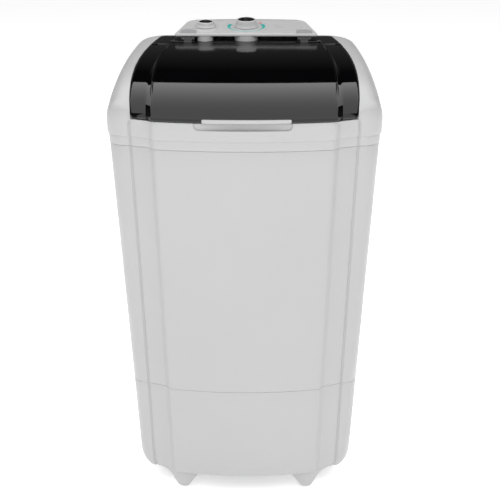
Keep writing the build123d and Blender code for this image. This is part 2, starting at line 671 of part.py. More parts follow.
def agitator():
    """Round base, tapered column and four curved-edged fins."""
    z0 = Z_TUB_FLOOR + AGITATOR_LIFT
    shape = post(0, TUB_Y, z0, z0 + 8, AGITATOR_R)
    shape += Pos(0, TUB_Y, z0 + 110) * Cone(*COLUMN_R, 210)
    with BuildSketch(Plane.XZ) as sketch:
        with BuildLine():
            Polyline((0, z0), (FIN_R, z0), (FIN_R, z0 + 26))
            Bezier((FIN_R, z0 + 26), (90, z0 + 44), (50, z0 + 90), (38, z0 + 190))
            Polyline((38, z0 + 190), (0, z0 + 190), (0, z0))
        make_face()
    fin = extrude(sketch.sketch, FIN_HALF, both=True)
    for quarter in range(4):
        shape += Pos(0, TUB_Y, 0) * Rot(0, 0, 45 + 90 * quarter) * fin
    shape -= post(0, TUB_Y, z0 - 5, z0 + 45, SHAFT_R)
    shape -= post(0, TUB_Y, z0 + COLUMN_TALL, z0 + COLUMN_TALL + 24, CAP_R)
    return shape


def agitator_cap():
    z0 = Z_TUB_FLOOR + AGITATOR_LIFT + COLUMN_TALL
    cap = post(0, TUB_Y, z0, z0 + 14, CAP_R)
    return fillet(cap.edges().group_by(Axis.Z)[-1], 6)


def bearing_housing():
    """Ribbed sleeve under the tub, with a flange against its floor."""
    shape = post(0, TUB_Y, BUSH_Z[0], 336, HOUSING_R)
    shape += post(0, TUB_Y, 334, Z_TUB_FLOOR - SKIN, FLANGE_R)
    for i in range(RIBS):
        shape += Pos(0, TUB_Y, 318) * Rot(0, 0, 360 / RIBS * i) * Pos(38, 0, 0) * Box(40, 4, 34)
    return shape - post(0, TUB_Y, 230, 350, BUSH_R)


def bushes():
    rings = [tube(0, TUB_Y, z, z + BUSH_TALL, BUSH_R, SHAFT_R + RUNNING) for z in BUSH_Z]
    return Compound(children=rings)


def shaft_seal():
    return tube(0, TUB_Y, 326, Z_TUB_FLOOR + 3, BUSH_R, SHAFT_R + RUNNING)


def pulley(y, r, z_hub, hub_r, bore):
    """Grooved belt pulley with a hub above it."""
    half, groove = BELT_WIDE / 2 + 3, BELT_WIDE / 2 + 0.5
    shape = post(0, y, Z_BELT - half, Z_BELT + half, r)
    shape -= tube(0, y, Z_BELT - groove, Z_BELT + groove, r + 5, r - BELT_THICK - 1)
    shape += post(0, y, Z_BELT - half, z_hub, hub_r)
    return shape - post(0, y, 150, 300, bore)


def driven_pulley():
    """Large pulley with round lightening holes."""
    shape = pulley(TUB_Y, DRIVEN_R, 232, 18, SHAFT_R)
    for i in range(RIBS):
        shape -= Pos(0, TUB_Y, Z_BELT) * Rot(0, 0, 360 / RIBS * (i + 0.5)) * Pos(60, 0, 0) * Cylinder(20, 30)
    return shape


def motor_pulley():
    return pulley(MOTOR_Y, DRIVER_R, 226, 12, MOTOR_SHAFT_R)


def pulley_nut():
    with BuildSketch(Plane.XY.offset(192)) as sketch:
        RegularPolygon(13, 6)
    return Pos(0, TUB_Y, 0) * extrude(sketch.sketch, 9.5) - post(0, TUB_Y, 180, 220, SHAFT_R)


def belt_band(r_driven, r_driver):
    """Closed band outline round both pulleys, as an upright prism."""
    with BuildSketch(Plane.XY.offset(Z_BELT - BELT_WIDE / 2)) as sketch:
        with BuildLine() as line:
            CenterArc((0, TUB_Y), r_driven, 0, 360)
            CenterArc((0, MOTOR_Y), r_driver, 0, 360)
        make_hull(line.edges())
    return extrude(sketch.sketch, BELT_WIDE)


def belt():
    inner = BELT_THICK + 0.6
    return belt_band(DRIVEN_R - 0.6, DRIVER_R - 0.6) - belt_band(DRIVEN_R - inner, DRIVER_R - inner)


def motor_casing():
    """Closed casing with cooling slots round its top."""
    z0, z1 = MOTOR_Z
    shape = post(0, MOTOR_Y, z0, z1, MOTOR_R)
    shape -= post(0, MOTOR_Y, z0 + MOTOR_SKIN, z1 - MOTOR_SKIN, MOTOR_R - MOTOR_SKIN)
    shape -= post(0, MOTOR_Y, z0 - 5, z1 + 5, MOTOR_SHAFT_R + RUNNING)
    for i in range(8):
        slot = Rot(0, 0, 45 * i) * Pos(45, 0, 0) * Box(12, 5, 10)
        shape -= Pos(0, MOTOR_Y, z1) * slot
    return shape


def motor_stator():
    return tube(0, MOTOR_Y, 246, 310, MOTOR_R - MOTOR_SKIN, ROTOR_R + 0.5)


def motor_rotor():
    z0, z1 = MOTOR_Z
    return post(0, MOTOR_Y, 250, 306, ROTOR_R) + post(0, MOTOR_Y, 200, z1 + 4, MOTOR_SHAFT_R)


def motor_fan():
    hub = tube(0, MOTOR_Y, 314, 326, 12, MOTOR_SHAFT_R)
    for i in range(7):
        hub += Pos(0, MOTOR_Y, 320) * Rot(0, 0, i * 360 / 7) * Pos(29, 0, 0) * Rot(30, 0, 0) * Box(36, 2, 9)
    return hub & post(0, MOTOR_Y, 300, 327, 50)


MOUNT_SPOTS = [(sx * MOUNT_OFF[0], MOTOR_Y + sy * MOUNT_OFF[1]) for sx in (-1, 1) for sy in (-1, 1)]


def motor_plate():
    plate = block(-95, 95, MOTOR_Y - 76, MOTOR_Y + 76, *PLATE_Z)
    plate = fillet(plate.edges().filter_by(Axis.Z), 12)
    plate -= post(0, MOTOR_Y, 250, 270, MOTOR_R)
    return plate - motor_screws()


def motor_mounts():
    cushions = [tube(x, y, Z_DECK, PLATE_Z[0], MOUNT_R, SCREW_R) for x, y in MOUNT_SPOTS]
    return Compound(children=cushions)


def motor_screws():
    top = PLATE_Z[1]
    screws = [
        post(x, y, top, top + 3, SCREW_HEAD_R) + post(x, y, Z_DECK + 0.5, top, SCREW_R)
        for x, y in MOUNT_SPOTS
    ]
    return Compound(children=screws)


def capacitor():
    """Run capacitor lying on the deck, with two terminals."""
    z = Z_DECK + CAPACITOR_R + 3
    shape = along_y(CAPACITOR_X, z, *CAPACITOR_Y, CAPACITOR_R)
    for dx in (-8, 8):
        shape += along_y(CAPACITOR_X + dx, z, CAPACITOR_Y[0] - 7, CAPACITOR_Y[0], 2.5)
    return shape


def capacitor_clip():
    """Strap round the capacitor, with feet on the deck."""
    z = Z_DECK + CAPACITOR_R + 3
    shape = along_y(CAPACITOR_X, z, *STRAP_Y, CAPACITOR_R + 1.5)
    shape += block(CAPACITOR_X - 32, CAPACITOR_X + 32, *STRAP_Y, Z_DECK, Z_DECK + 2)
    return shape - along_y(CAPACITOR_X, z, STRAP_Y[0] - 8, STRAP_Y[1] + 7, CAPACITOR_R)


def filter_guide():
    """Slot on the tub's rear wall that the lint filter slides into."""
    shape = block(-72, 72, 146, 166, 650, 818) - block(-64, 64, 150, 162, 654, 830)
    return shape - block(-50, 50, 140, 151, 670, 800)


def lint_filter():
    """Hollow lift-out screen with a grip on top."""
    shape = block(-63.5, 63.5, 150.5, 161.5, 654.5, 812) - block(-61, 61, 153, 159, 658, 806)
    for column in range(-5, 6):
        for row in range(11):
            x, z = column * 9, 676 + row * 11
            shape -= block(x - 3, x + 3, 148, 153.5, z - 4, z + 4)
    grip = block(-20, 20, 153, 159, 806, 828) - block(-14, 14, 150, 162, 814, 822)
    return shape + grip


def drain_pipe():
    """Pipe from the tub's floor, down and back to a hose end behind the skirt."""
    x, z = DRAIN_X, DRAIN_Z
    outer = post(x, DRAIN_Y, z, Z_TUB_FLOOR - SKIN, DRAIN_R)
    outer += Pos(x, DRAIN_Y, z) * Sphere(DRAIN_R)
    outer += along_y(x, z, DRAIN_Y, DRAIN_REACH - 10, DRAIN_R)
    outer += along_y(x, z, DRAIN_REACH - SPIGOT_LONG, DRAIN_REACH, SPIGOT_R)
    bore = post(x, DRAIN_Y, z, 350, DRAIN_BORE) + Pos(x, DRAIN_Y, z) * Sphere(DRAIN_BORE)
    bore += along_y(x, z, DRAIN_Y, DRAIN_REACH + 1, DRAIN_BORE)
    return outer - bore


# ---- Screws ---------------------------------------------------------------------------------
def rear_screw(x, z, wall_y):
    """Screw driven forward into a rear wall, its head let in by a millimetre."""
    shank = along_y(x, z, wall_y - SCREW_LONG, wall_y, SCREW_R)
    return shank + along_y(x, z, wall_y - 1, wall_y + 1.6, SCREW_HEAD_R)


def back_wall(z):
    return mix(BACK_Y, (z - Z_SKIRT_BOTTOM) / (Z_SEAM - Z_SKIRT_BOTTOM))


def rear_screws(spots, z, wall_y):
    return Compound(children=[rear_screw(x, z, wall_y) for x in spots])


def base_screws_solid():
    return rear_screws((-140, -50, 50, 140), 240, back_wall(240))


def frame_screws_solid():
    return rear_screws((-170, -60, 60, 170), 850, BACK_Y[1] + FRAME_OUT + 1)


def panel_screws_solid():
    return rear_screws((-100, 0, 100), 976, CONSOLE_Y[1] - 1)


def power_inlet():
    """Gland in the rear wall, for a supply cord."""
    x, z, wall_y = INLET_X, INLET_Z, back_wall(INLET_Z)
    shape = along_y(x, z, wall_y - 14, wall_y, INLET_R) + along_y(x, z, wall_y, wall_y + 5, INLET_FLANGE_R)
    return shape - along_y(x, z, wall_y - 20, wall_y + 10, CORD_BORE_R)


def drive_shaft():
    return post(0, TUB_Y, 190, Z_TUB_FLOOR + 50, SHAFT_R)


MAKERS = {
    "cabinet": cabinet, "base_skirt": base_skirt, "foot_pads": foot_pads, "bottom_cover": bottom_cover,
    "top_frame": top_frame, "lid": lid, "lid_rear_panel": lid_rear_panel, "hinge_brackets": hinge_brackets,
    "lid_hinge_pins": hinge_pins, "lid_handle": lid_handle, "control_panel": control_panel,
    "hinge_covers": hinge_covers, "panel_overlay": panel_overlay, "dial_ring": dial_ring,
    "dial_marker": dial_marker,
    "knob_shrouds": knob_shrouds, "timer_body": timer_body, "selector_switch": selector_switch,
    "tub": tub, "agitator": agitator, "agitator_cap": agitator_cap, "bearing_housing": bearing_housing,
    "shaft_bushes": bushes, "shaft_seal": shaft_seal, "driven_pulley": driven_pulley, "pulley_nut": pulley_nut,
    "drive_belt": belt, "motor_pulley": motor_pulley, "motor_casing": motor_casing,
    "motor_stator": motor_stator, "motor_rotor": motor_rotor, "motor_fan": motor_fan,
    "motor_plate": motor_plate, "motor_mounts": motor_mounts, "motor_screws": motor_screws,
    "capacitor": capacitor, "capacitor_clip": capacitor_clip, "filter_guide": filter_guide,
    "lint_filter": lint_filter, "drain_pipe": drain_pipe, "base_screws": base_screws_solid,
    "frame_screws": frame_screws_solid, "panel_screws": panel_screws_solid, "power_inlet": power_inlet,
    "drive_shaft": drive_shaft,
}

if __name__ == "__main__":
    for node, make in MAKERS.items():
        save(node, make())
    for node, (x, r_base, r_top, height) in KNOBS.items():
        save(f"{node}_knob", knob(x, r_base, r_top, height))
        save(f"{node}_cap", knob_cap(x, r_top, height))
        save(f"{node}_shaft", knob_shaft(x, height))
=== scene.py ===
"""Looks of a top-loading washer: grey satin shells, a smoked arched lid and a console with two knobs."""
import json
import math

import bmesh
import bpy
import numpy as np
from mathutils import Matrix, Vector

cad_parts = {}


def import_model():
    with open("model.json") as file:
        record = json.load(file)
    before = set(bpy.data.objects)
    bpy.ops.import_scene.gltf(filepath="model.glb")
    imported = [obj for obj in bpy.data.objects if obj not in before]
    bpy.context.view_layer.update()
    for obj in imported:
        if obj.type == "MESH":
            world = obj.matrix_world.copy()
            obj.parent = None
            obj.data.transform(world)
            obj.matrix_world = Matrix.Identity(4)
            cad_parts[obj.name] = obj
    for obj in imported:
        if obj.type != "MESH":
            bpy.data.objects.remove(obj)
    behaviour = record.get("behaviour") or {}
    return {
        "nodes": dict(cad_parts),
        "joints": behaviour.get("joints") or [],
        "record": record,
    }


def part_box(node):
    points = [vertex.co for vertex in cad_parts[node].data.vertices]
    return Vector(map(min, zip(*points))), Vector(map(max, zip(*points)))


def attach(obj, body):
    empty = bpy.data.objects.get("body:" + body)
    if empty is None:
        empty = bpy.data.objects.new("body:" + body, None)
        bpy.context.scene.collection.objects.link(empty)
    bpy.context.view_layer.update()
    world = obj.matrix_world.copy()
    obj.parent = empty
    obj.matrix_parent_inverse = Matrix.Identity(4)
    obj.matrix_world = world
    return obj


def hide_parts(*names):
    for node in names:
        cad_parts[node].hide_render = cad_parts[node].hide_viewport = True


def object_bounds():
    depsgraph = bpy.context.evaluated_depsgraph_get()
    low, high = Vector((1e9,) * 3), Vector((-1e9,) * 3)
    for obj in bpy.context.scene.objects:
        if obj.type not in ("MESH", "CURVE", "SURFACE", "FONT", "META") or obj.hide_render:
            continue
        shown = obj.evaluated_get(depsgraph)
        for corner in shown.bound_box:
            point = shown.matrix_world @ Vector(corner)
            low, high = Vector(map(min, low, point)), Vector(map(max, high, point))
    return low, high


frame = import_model()
cad_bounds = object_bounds()
FLOOR_Z = Vector(cad_bounds[0]).z

# ---- Materials ------------------------------------------------------------------------------


class Nodes:
    """A material's node tree, with short ways to add the nodes used here."""

    def __init__(self, name):
        self.material = bpy.data.materials.new(name)
        self.material.use_nodes = True
        self.tree = self.material.node_tree
        self.shader = self.tree.nodes["Principled BSDF"]
        self.place = self.tree.nodes.new("ShaderNodeTexCoord").outputs["Object"]

    def set(self, **values):
        for name, value in values.items():
            self.shader.inputs[name.replace("_", " ")].default_value = value

    def link(self, a, b):
        self.tree.links.new(a, b)

    def noise(self, scale, detail=3.0, rough=0.5, stretch=None):
        node = self.tree.nodes.new("ShaderNodeTexNoise")
        node.inputs["Scale"].default_value = scale
        node.inputs["Detail"].default_value = detail
        node.inputs["Roughness"].default_value = rough
        source = self.place
        if stretch:
            mapping = self.tree.nodes.new("ShaderNodeMapping")
            mapping.inputs["Scale"].default_value = stretch
            self.link(source, mapping.inputs["Vector"])
            source = mapping.outputs["Vector"]
        self.link(source, node.inputs["Vector"])
        return node.outputs["Fac"]

    def span(self, value, low, high, start=0.3, end=0.7):
        """Map a 0..1 value to a range."""
        node = self.tree.nodes.new("ShaderNodeMapRange")
        for key, number in zip(("From Min", "From Max", "To Min", "To Max"), (start, end, low, high)):
            node.inputs[key].default_value = number
        self.link(value, node.inputs["Value"])
        return node.outputs["Result"]

    def blend(self, value, first, second):
        """Colour between two colours."""
        node = self.tree.nodes.new("ShaderNodeMix")
        node.data_type = "RGBA"
        node.inputs["A"].default_value = (*first, 1)
        node.inputs["B"].default_value = (*second, 1)
        self.link(value, node.inputs["Factor"])
        return node.outputs["Result"]

    def bump(self, height, strength, distance):
        node = self.tree.nodes.new("ShaderNodeBump")
        node.inputs["Strength"].default_value = strength
        node.inputs["Distance"].default_value = distance
        self.link(height, node.inputs["Height"])
        self.link(node.outputs["Normal"], self.shader.inputs["Normal"])


def moulded(name, colour, rough=0.42, grain=0.00003, vary=0.03):
    """Moulded plastic: a faint mottle, uneven gloss and a fine grain."""
    m = Nodes(name)
    broad = m.noise(3.0, 2.0)
    fine = m.noise(900.0, 2.0, 0.6)
    dark = tuple(c * (1 - vary) for c in colour)
    m.link(m.blend(m.span(broad, 0, 1), dark, colour), m.shader.inputs["Base Color"])
    m.link(m.span(m.noise(14.0), rough - 0.05, rough + 0.05), m.shader.inputs["Roughness"])
    m.bump(fine, 0.5, grain)
    return m.material


def turned_metal(name, colour, rough=0.28):
    """Metal with fine circular or straight tool marks."""
    m = Nodes(name)
    marks = m.noise(60.0, 4.0, 0.6, stretch=(1, 1, 14))
    dark = tuple(c * 0.8 for c in colour)
    m.link(m.blend(m.span(marks, 0, 1), dark, colour), m.shader.inputs["Base Color"])
    m.link(m.span(marks, rough - 0.08, rough + 0.1), m.shader.inputs["Roughness"])
    m.set(Metallic=1.0)
    m.bump(marks, 0.2, 0.00005)
    return m.material


def smoked():
    """Smoked acrylic: nearly black and highly polished at the front, rougher towards the back."""
    m = Nodes("smoked_acrylic")
    m.link(m.blend(m.span(m.noise(2.5), 0, 1), (0.0007, 0.0007, 0.0009), (0.0015, 0.0015, 0.0018)),
           m.shader.inputs["Base Color"])
    parts = m.tree.nodes.new("ShaderNodeSeparateXYZ")
    m.link(m.place, parts.inputs["Vector"])
    m.link(m.span(parts.outputs["Y"], 0.04, 0.3, 0.0, 0.12), m.shader.inputs["Roughness"])
    m.set(IOR=1.5)
    m.bump(m.noise(7.0, 1.0), 0.05, 0.0003)
    return m.material


GREY = (0.36, 0.36, 0.36)
LOOKS = {
    "shell_grey": moulded("shell_plastic", GREY, 0.38),
    "frame_grey": moulded("frame_plastic", (0.365, 0.365, 0.365), 0.34),
    "smoked_lid": smoked(),
    "tub_white": moulded("tub_plastic", (0.72, 0.73, 0.74), 0.3),
    "agitator_white": moulded("agitator_plastic", (0.70, 0.72, 0.74), 0.3),
    "rubber_black": moulded("black_rubber", (0.03, 0.03, 0.03), 0.75, 0.0001, 0.3),
    "dark_plastic": moulded("dark_plastic", (0.015, 0.015, 0.017), 0.5, 0.00006, 0.2),
    "grey_patch": moulded("patch_plastic", (0.22, 0.22, 0.225), 0.45),
    "console_grey": moulded("console_plastic", (0.36, 0.36, 0.36), 0.36),
    "overlay_print": moulded("overlay_film", (0.37, 0.37, 0.37), 0.3),
    "dial_red": moulded("red_ink", (0.50, 0.04, 0.07), 0.4),
    "dial_teal": moulded("teal_ink", (0.0, 0.28, 0.25), 0.4),
    "knob_grey": moulded("knob_plastic", (0.36, 0.36, 0.36), 0.34),
    "knob_chrome": turned_metal("knob_chrome", (0.8, 0.8, 0.82), 0.1),
    "steel_bright": turned_metal("bright_steel", (0.56, 0.56, 0.55)),
    "zinc_plate": turned_metal("zinc", (0.5, 0.5, 0.48), 0.35),
    "cast_alu": turned_metal("cast_aluminium", (0.6, 0.6, 0.6), 0.45),
    "motor_black": moulded("motor_paint", (0.03, 0.03, 0.035), 0.4, 0.0001, 0.2),
    "laminations": turned_metal("lamination_steel", (0.2, 0.2, 0.2), 0.5),
    "bush_bronze": turned_metal("bronze", (0.6, 0.42, 0.2), 0.35),
    "filter_blue": moulded("filter_plastic", (0.1, 0.26, 0.5), 0.35),
}
SLOTS = {s["node"]: s["material_slot"] for s in frame["record"]["subparts"]}


def paint(obj, slot):
    obj.data.materials.clear()
    obj.data.materials.append(LOOKS[slot])


for node_name, node_object in frame["nodes"].items():
    paint(node_object, SLOTS[node_name])


# ---- Mesh helpers ---------------------------------------------------------------------------
MM = 0.001


def piece(name, shape, body, slot, nodes=(), sharp=35.0, closed=True, thick=0.0):
    """A mesh given in millimetres, as an object that rides on a body and stands for CAD nodes."""
    verts, faces = shape
    mesh = bpy.data.meshes.new(name)
    mesh.from_pydata([tuple(c * MM for c in v) for v in verts], [], faces)
    if closed:
        work = bmesh.new()
        work.from_mesh(mesh)
        bmesh.ops.recalc_face_normals(work, faces=work.faces)
        work.to_mesh(mesh)
        work.free()
    mesh.shade_smooth()
    mesh.set_sharp_from_angle(angle=math.radians(sharp))
    obj = bpy.data.objects.new(name, mesh)
    bpy.context.scene.collection.objects.link(obj)
    if thick:
        shell = obj.modifiers.new("thickness", "SOLIDIFY")
        shell.thickness = thick * MM
        shell.offset = -1
    paint(obj, slot)
    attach(obj, body)
    if nodes:
        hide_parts(*nodes)
    return obj


def loft(rings, loop=False, cap_first=False, cap_last=False):
    """Quads between successive closed rings of one count; loop joins the last to the first."""
    count = len(rings[0])
    verts = [tuple(p) for ring in rings for p in ring]
    faces = []
    for k in range(len(rings) if loop else len(rings) - 1):
        a, b = k * count, ((k + 1) % len(rings)) * count
        faces += [(a + i, a + (i + 1) % count, b + (i + 1) % count, b + i) for i in range(count)]
    if cap_first:
        faces.append(tuple(range(count))[::-1])
    if cap_last:
        start = (len(rings) - 1) * count
        faces.append(tuple(range(start, start + count)))
    return verts, faces


def grid(rows):
    """Quads over a rectangular array of points, facing up when rows run back and columns right."""
    columns = len(rows[0])
    verts = [tuple(p) for row in rows for p in row]
    faces = []
    for i in range(len(rows) - 1):
        for j in range(columns - 1):
            a = i * columns + j
            faces.append((a, a + 1, a + columns + 1, a + columns))
    return verts, faces


def joined(*shapes):
    """Several shapes as one."""
    verts, faces = [], []
    for part_verts, part_faces in shapes:
        start = len(verts)
        verts += list(part_verts)
        faces += [tuple(start + i for i in face) for face in part_faces]
    return verts, faces


def soften(points, cuts, steps=4):
    """An open path with each corner rounded off by its cut length."""
    path = []
    for i, (point, cut) in enumerate(zip(points, cuts)):
        p = np.array(point, float)
        if cut == 0 or i in (0, len(points) - 1):
            path.append(p)
            continue
        before, after = np.array(points[i - 1], float) - p, np.array(points[i + 1], float) - p
        start = p + before / np.linalg.norm(before) * cut
        end = p + after / np.linalg.norm(after) * cut
        for t in np.linspace(0, 1, steps + 1):
            path.append((1 - t) ** 2 * start + 2 * t * (1 - t) * p + t * t * end)
    return path


def mirrored(half):
    """A closed plan from its right half, which runs from the front middle to the back middle."""
    right = [np.array(p, float) for p in half]
    return right + [p * np.array((-1, 1)) for p in right[1:-1]][::-1]


def mix(pair, t):
    return pair[0] + (pair[1] - pair[0]) * t


def cut_away(obj, shape):
    """Cut a closed shape out of an object, for good."""
    verts, faces = shape
    mesh = bpy.data.meshes.new("cutter")
    mesh.from_pydata([tuple(c * MM for c in v) for v in verts], [], faces)
    work = bmesh.new()
    work.from_mesh(mesh)
    bmesh.ops.recalc_face_normals(work, faces=work.faces)
    work.to_mesh(mesh)
    work.free()
    cutter = bpy.data.objects.new("cutter", mesh)
    bpy.context.scene.collection.objects.link(cutter)
    cut = obj.modifiers.new("cut", "BOOLEAN")
    cut.operation = "DIFFERENCE"
    cut.object = cutter
    bpy.context.view_layer.update()
    result = bpy.data.meshes.new_from_object(obj.evaluated_get(bpy.context.evaluated_depsgraph_get()))
    obj.modifiers.remove(cut)
    obj.data = result
    result.set_sharp_from_angle(angle=math.radians(35))
    bpy.data.objects.remove(cutter)


# ---- Body plan ------------------------------------------------------------------------------
Z_SOLE, Z_SKIRT_BOTTOM, Z_SKIRT_TOP, Z_SEAM = 6.0, 44.0, 262.0, 817.0
Z_LEDGE, Z_WIDEST, Z_RIM, Z_TUB_RIM = 837.0, 862.0, 875.0, 856.0
SIDE_X, FRONT_Y, BACK_Y = (240.0, 281.0), (252.0, 294.0), (252.0, 288.0)
PANEL_X, GROOVE_X = (158.0, 183.0), (204.0, 230.0)
BULGE, STEP_WIDE, STEP_DEEP, BAND_DROP = 18.0, 10.0, 15.0, 14.0
GROOVE_WIDE, GROOVE_DEEP = 7.0, 3.5
CORNER_FRONT, CORNER_REAR, SIDE_TAPER = 46.0, 64.0, 10.0
FRAME_OUT, SHOULDER_OUT = 1.0, 5.0
FRONT_COUNT, CORNER_COUNT, SIDE_COUNT, REAR_COUNT = 24, 9, 12, 10


def body_half(z, out=0.0, along=None, groove=1.0):
    """Right half of the body's plan at height z, in four stretches."""
    t = (z - Z_SKIRT_BOTTOM) / (Z_SEAM - Z_SKIRT_BOTTOM)
    along = out if along is None else along
    side, front, back = mix(SIDE_X, t) + out, mix(FRONT_Y, t) + along, mix(BACK_Y, t) + along
    panel = mix(PANEL_X, t) + out / 3
    step_x, step_y = panel + STEP_WIDE, BULGE - front + STEP_DEEP
    groove_x, groove_y = mix(GROOVE_X, t) + out / 3, BULGE - front + STEP_DEEP + BAND_DROP
    after_x, after_y = groove_x + GROOVE_WIDE, groove_y + GROOVE_WIDE / 3
    bulge = [(panel * k / FRONT_COUNT, BULGE * (k / FRONT_COUNT) ** 2 - front) for k in range(FRONT_COUNT)]
    bends = [(panel, BULGE - front), (step_x, step_y), (groove_x, groove_y),
             (groove_x + GROOVE_WIDE / 2, groove_y + 1 + GROOVE_DEEP * groove), (after_x, after_y)]
    face = soften(bulge + bends, [0] * FRONT_COUNT + [5.0, 4.0, 2.0, 1.6, 0])
    side_y = after_y + CORNER_FRONT
    corner = [(after_x + (side - after_x) * math.sin(a), side_y - CORNER_FRONT * math.cos(a))
              for a in np.linspace(0, math.pi / 2, CORNER_COUNT + 1)[1:]]
    rear_x, rear_y = side - SIDE_TAPER, back - CORNER_REAR
    flank = [(mix((side, rear_x), k), mix((side_y, rear_y), k))
             for k in np.linspace(0, 1, SIDE_COUNT + 2)[1:-1]]
    turn = [(rear_x - CORNER_REAR * (1 - math.cos(a)), rear_y + CORNER_REAR * math.sin(a))
            for a in np.linspace(0, math.pi / 2, REAR_COUNT)]
    return face, corner, flank, turn + [(turn[-1][0] / 2, back), (0, back)]


def body_ring(z, out=0.0, along=None, at=None, groove=1.0):
    """The plan as a ring of 3-D points, drawn at height at."""
    height = z if at is None else at
    face, corner, flank, rear = body_half(z, out, along, groove)
    return [(x, y, height) for x, y in mirrored(list(face) + corner + flank + rear)]


SEAM_ROUND = 0.8
WALL = 4.6
LIP_TALL, LIP_WIDE, LIP_SLACK = 8.0, 2.0, 0.3


def edge_steps(z, direction):
    """Heights and insets that round a wall's edge; direction is 1 for an upper edge."""
    return [(z - direction * SEAM_ROUND * (1 - math.sin(a)), -SEAM_ROUND * (1 - math.cos(a)))
            for a in np.radians((0, 30, 60, 85))]


def wall(lower_edge, z_low, z_high, rows):
    """A shell's wall: up its outside, over its top edge, round a lip that stands up inside, and down."""
    rings = [body_ring(z, side, ahead) for z, side, ahead in lower_edge]
    rings += [body_ring(z) for z in np.linspace(z_low, z_high, rows + 2)[1:-1]]
    rings += [body_ring(z, inset) for z, inset in edge_steps(z_high, 1)]
    lip_out, lip_in = -WALL - LIP_SLACK, -WALL - LIP_WIDE
    lip_top = z_high + LIP_TALL
    for z, inset in ((z_high, lip_out), (lip_top, lip_out), (lip_top, lip_in), (z_low, lip_in)):
        rings.append(body_ring(z, inset, groove=0.3))
    return loft(rings, loop=True)


def cabinet():
    z_low = Z_SKIRT_TOP + 0.2
    lower_edge = [(z, inset, inset) for z, inset in edge_steps(z_low, -1)[::-1]]
    return piece("cabinet_shell", wall(lower_edge, z_low + 3, Z_SEAM, 10), "machine", "shell_grey",
                 ["cabinet"])


FEET_Y = ((-231.0, -179.0), (195.0, 249.0))
FOOT_TOP, FOOT_ROUND = 52.0, 3.0
FOOT = [(101, 51.5), (103, 44), (130, Z_SOLE), (148, Z_SOLE), (173, 38), (194, 46)]
FOOT_CUTS = (0, 5, 6, 7, 9, 0)


def foot(s, y0, y1):
    """Foot with a steep inner face, a narrow sole and a long outer slope, kept within the skirt's plan."""
    face, _, _, rear = body_half(Z_SKIRT_BOTTOM + 6, -1.0, groove=0.0)
    front_x, front_y = zip(*face)
    rear_x, rear_y = zip(*rear[::-1])
    rings = []
    for x, z in soften(FOOT, FOOT_CUTS, 5):
        front = max(y0, float(np.interp(x, front_x, front_y)))
        back = min(y1, float(np.interp(x, rear_x, rear_y)))
        r = min(FOOT_ROUND, (FOOT_TOP - z) / 2)
        bend = 0.3 * r
        section = [(front, FOOT_TOP), (front, z + r), (front + bend, z + bend), (front + r, z),
                   (back - r, z), (back - bend, z + bend), (back, z + r), (back, FOOT_TOP)]
        rings.append([(s * x, y, h) for y, h in section])
    return loft(rings, cap_first=True, cap_last=True)


SKIRT_CURL = ((0, 15, 2.4), (0.6, 13.5, 1.2), (2, 11.5, 0.5), (5, 8.5, 0.1), (10, 5.2, 0), (17, 2.3, 0),
              (26, 0.6, 0), (36, 0, 0))


def base_skirt():
    """Skirt whose lower corners curl under, on four moulded feet."""
    curl = [(Z_SKIRT_BOTTOM + rise, -side, -ahead) for rise, side, ahead in SKIRT_CURL]
    shell = wall(curl, Z_SKIRT_BOTTOM + 40, Z_SKIRT_TOP, 4)
    feet = [foot(s, y0, y1) for s in (-1, 1) for y0, y1 in FEET_Y]
    return piece("base_skirt_shell", joined(shell, *feet), "machine", "shell_grey", ["base_skirt"])


# ---- Lid ------------------------------------------------------------------------------------
TURN_Y = 686.0
ARCH_BACK = 225.0
RIB_INSET, LID_SPLIT, LID_BACK = 42.0, 121.0, 225.0
RIB_SAMPLE_X = 168.0
LID_X, LID_Y = (232.0, 236.0, 203.0), (-258.0, -140.0, 205.0)
LID_CORNER = 32.0
LID_SKIN = 3.0
MID_RADIUS, EDGE_RADIUS, MID_TOP, EDGE_TOP = 980.0, 968.0, 966.0, 961.0


class Arch:
    """A lid profile turned about the upright line behind the machine."""

    def __init__(self, radius, top, full):
        front = TURN_Y - radius
        t = np.linspace(0, 1, 240)
        ys = (front, front, ARCH_BACK - full * (ARCH_BACK - front), ARCH_BACK)
        zs = (Z_RIM, Z_RIM + full * (top - Z_RIM), top, top)
        weights = ((1 - t) ** 3, 3 * t * (1 - t) ** 2, 3 * t * t * (1 - t), t ** 3)
        self.y = np.append(sum(w * p for w, p in zip(weights, ys)), 340.0)
        self.z = np.append(sum(w * p for w, p in zip(weights, zs)), top)
        self.length = np.concatenate(([0], np.cumsum(np.hypot(np.diff(self.y), np.diff(self.z)))))

    def height(self, x, y):
        return float(np.interp(TURN_Y - math.hypot(TURN_Y - y, x), self.y, self.z))

    def reach(self, x, y):
        """Profile length from the front to the plan point."""
        return float(np.interp(TURN_Y - math.hypot(TURN_Y - y, x), self.y, self.length))

    def point(self, x, length, out=0.0):
        """Point of the dome at x, a given way up its profile, stood out from the front by out."""
        y = float(np.interp(length, self.length, self.y))
        z = float(np.interp(length, self.length, self.z))
        radius = TURN_Y - y + out
        return x, TURN_Y - math.sqrt(max(radius * radius - x * x, 1.0)), z


MIDDLE, BAND = Arch(MID_RADIUS, MID_TOP, 0.68), Arch(EDGE_RADIUS, EDGE_TOP, 0.74)


def lid_curve(y):
    """Half width of the lid at depth y, before its rear corners are rounded."""
    (y0, y1, y2), (x0, x1, x2) = LID_Y, LID_X
    return (x0 * (y - y1) * (y - y2) / ((y0 - y1) * (y0 - y2))
            + x1 * (y - y0) * (y - y2) / ((y1 - y0) * (y1 - y2))
            + x2 * (y - y0) * (y - y1) / ((y2 - y0) * (y2 - y1)))


